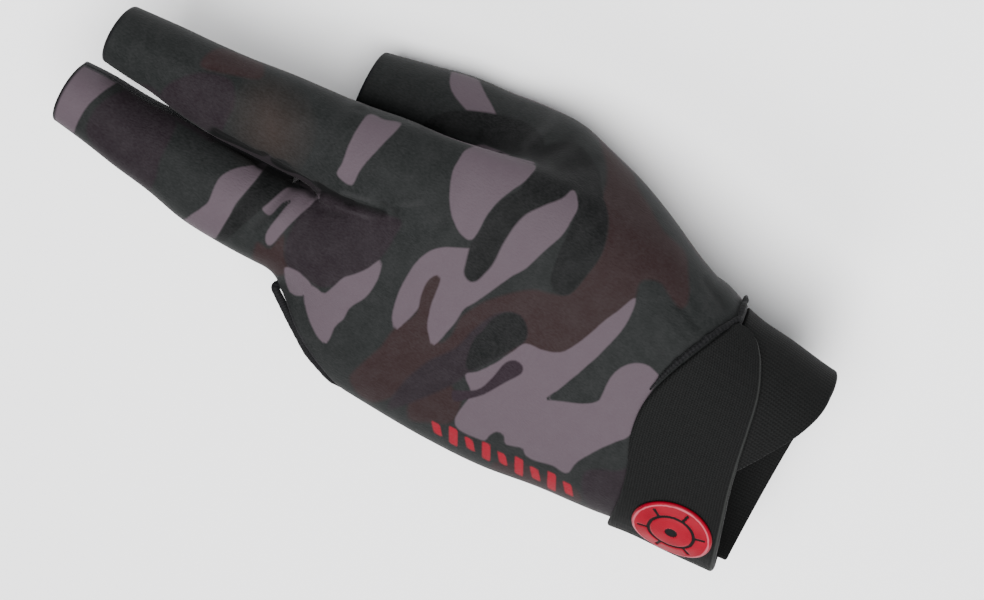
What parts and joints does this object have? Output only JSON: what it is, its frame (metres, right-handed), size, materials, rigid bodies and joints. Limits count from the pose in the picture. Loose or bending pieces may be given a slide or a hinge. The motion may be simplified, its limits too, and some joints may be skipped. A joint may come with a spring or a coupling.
{
  "type": "billiard glove",
  "caption": "Three-finger stretch billiard glove for the left hand, open at the fingertips, with an elastic cuff and a hook-and-loop wrist strap.",
  "frame": {"origin": "middle of the wrist, inside the closing strap", "axes": "+Y from the wrist towards the fingertips, +Z out of the back of the hand, +X towards the thumb side"},
  "size_m": [0.0873, 0.2033, 0.0618],
  "materials": {
    "printed_cloth": "thin stretch knit, camouflage print",
    "plain_cloth": "thin stretch knit, plain black",
    "elastic": "woven elastic, matt black",
    "hook_tape": "hook tape, matt black",
    "red_rubber": "moulded badge, satin red"
  },
  "bodies": {
    "root": {"back_panel": "printed_cloth", "palm_panel": "plain_cloth", "edge_binding": "elastic", "cuff_band": "elastic", "wrist_strap": "elastic", "strap_piping": "elastic", "hook_patch": "hook_tape", "badge_disc": "red_rubber"}
  },
  "joints": []
}
